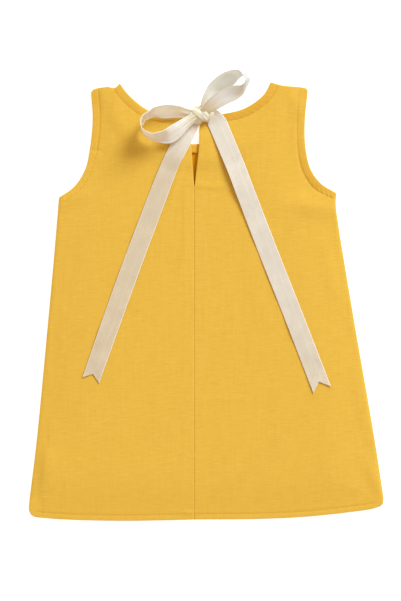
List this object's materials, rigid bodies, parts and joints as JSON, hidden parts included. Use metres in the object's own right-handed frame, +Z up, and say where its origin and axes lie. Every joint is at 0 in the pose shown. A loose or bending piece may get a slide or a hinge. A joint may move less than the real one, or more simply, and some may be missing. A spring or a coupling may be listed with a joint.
{
  "type": "sleeveless dress",
  "caption": "Toddler's sleeveless A-line dress laid flat, back up, with a centre-back seam and a neck slit closed by a satin ribbon bow with long tails.",
  "frame": {"origin": "middle of the footprint, on the surface the dress lies on", "axes": "+Z up, out of the back of the dress; +Y towards the neck, along its length; +X to the right as seen from above"},
  "size_m": [0.3548, 0.4494, 0.0291],
  "materials": {
    "yellow_cloth": "matt golden-yellow slubbed plain weave",
    "facing_cloth": "the same cloth, inside face",
    "cream_satin": "soft cream satin ribbon with woven edges"
  },
  "bodies": {
    "root": {"front": "yellow_cloth", "front_neck_facing": "facing_cloth", "back_left": "yellow_cloth", "back_right": "yellow_cloth", "bow_loop_left": "cream_satin", "bow_loop_right": "cream_satin", "bow_knot": "cream_satin", "bow_tail_left": "cream_satin", "bow_tail_right": "cream_satin"}
  },
  "joints": []
}
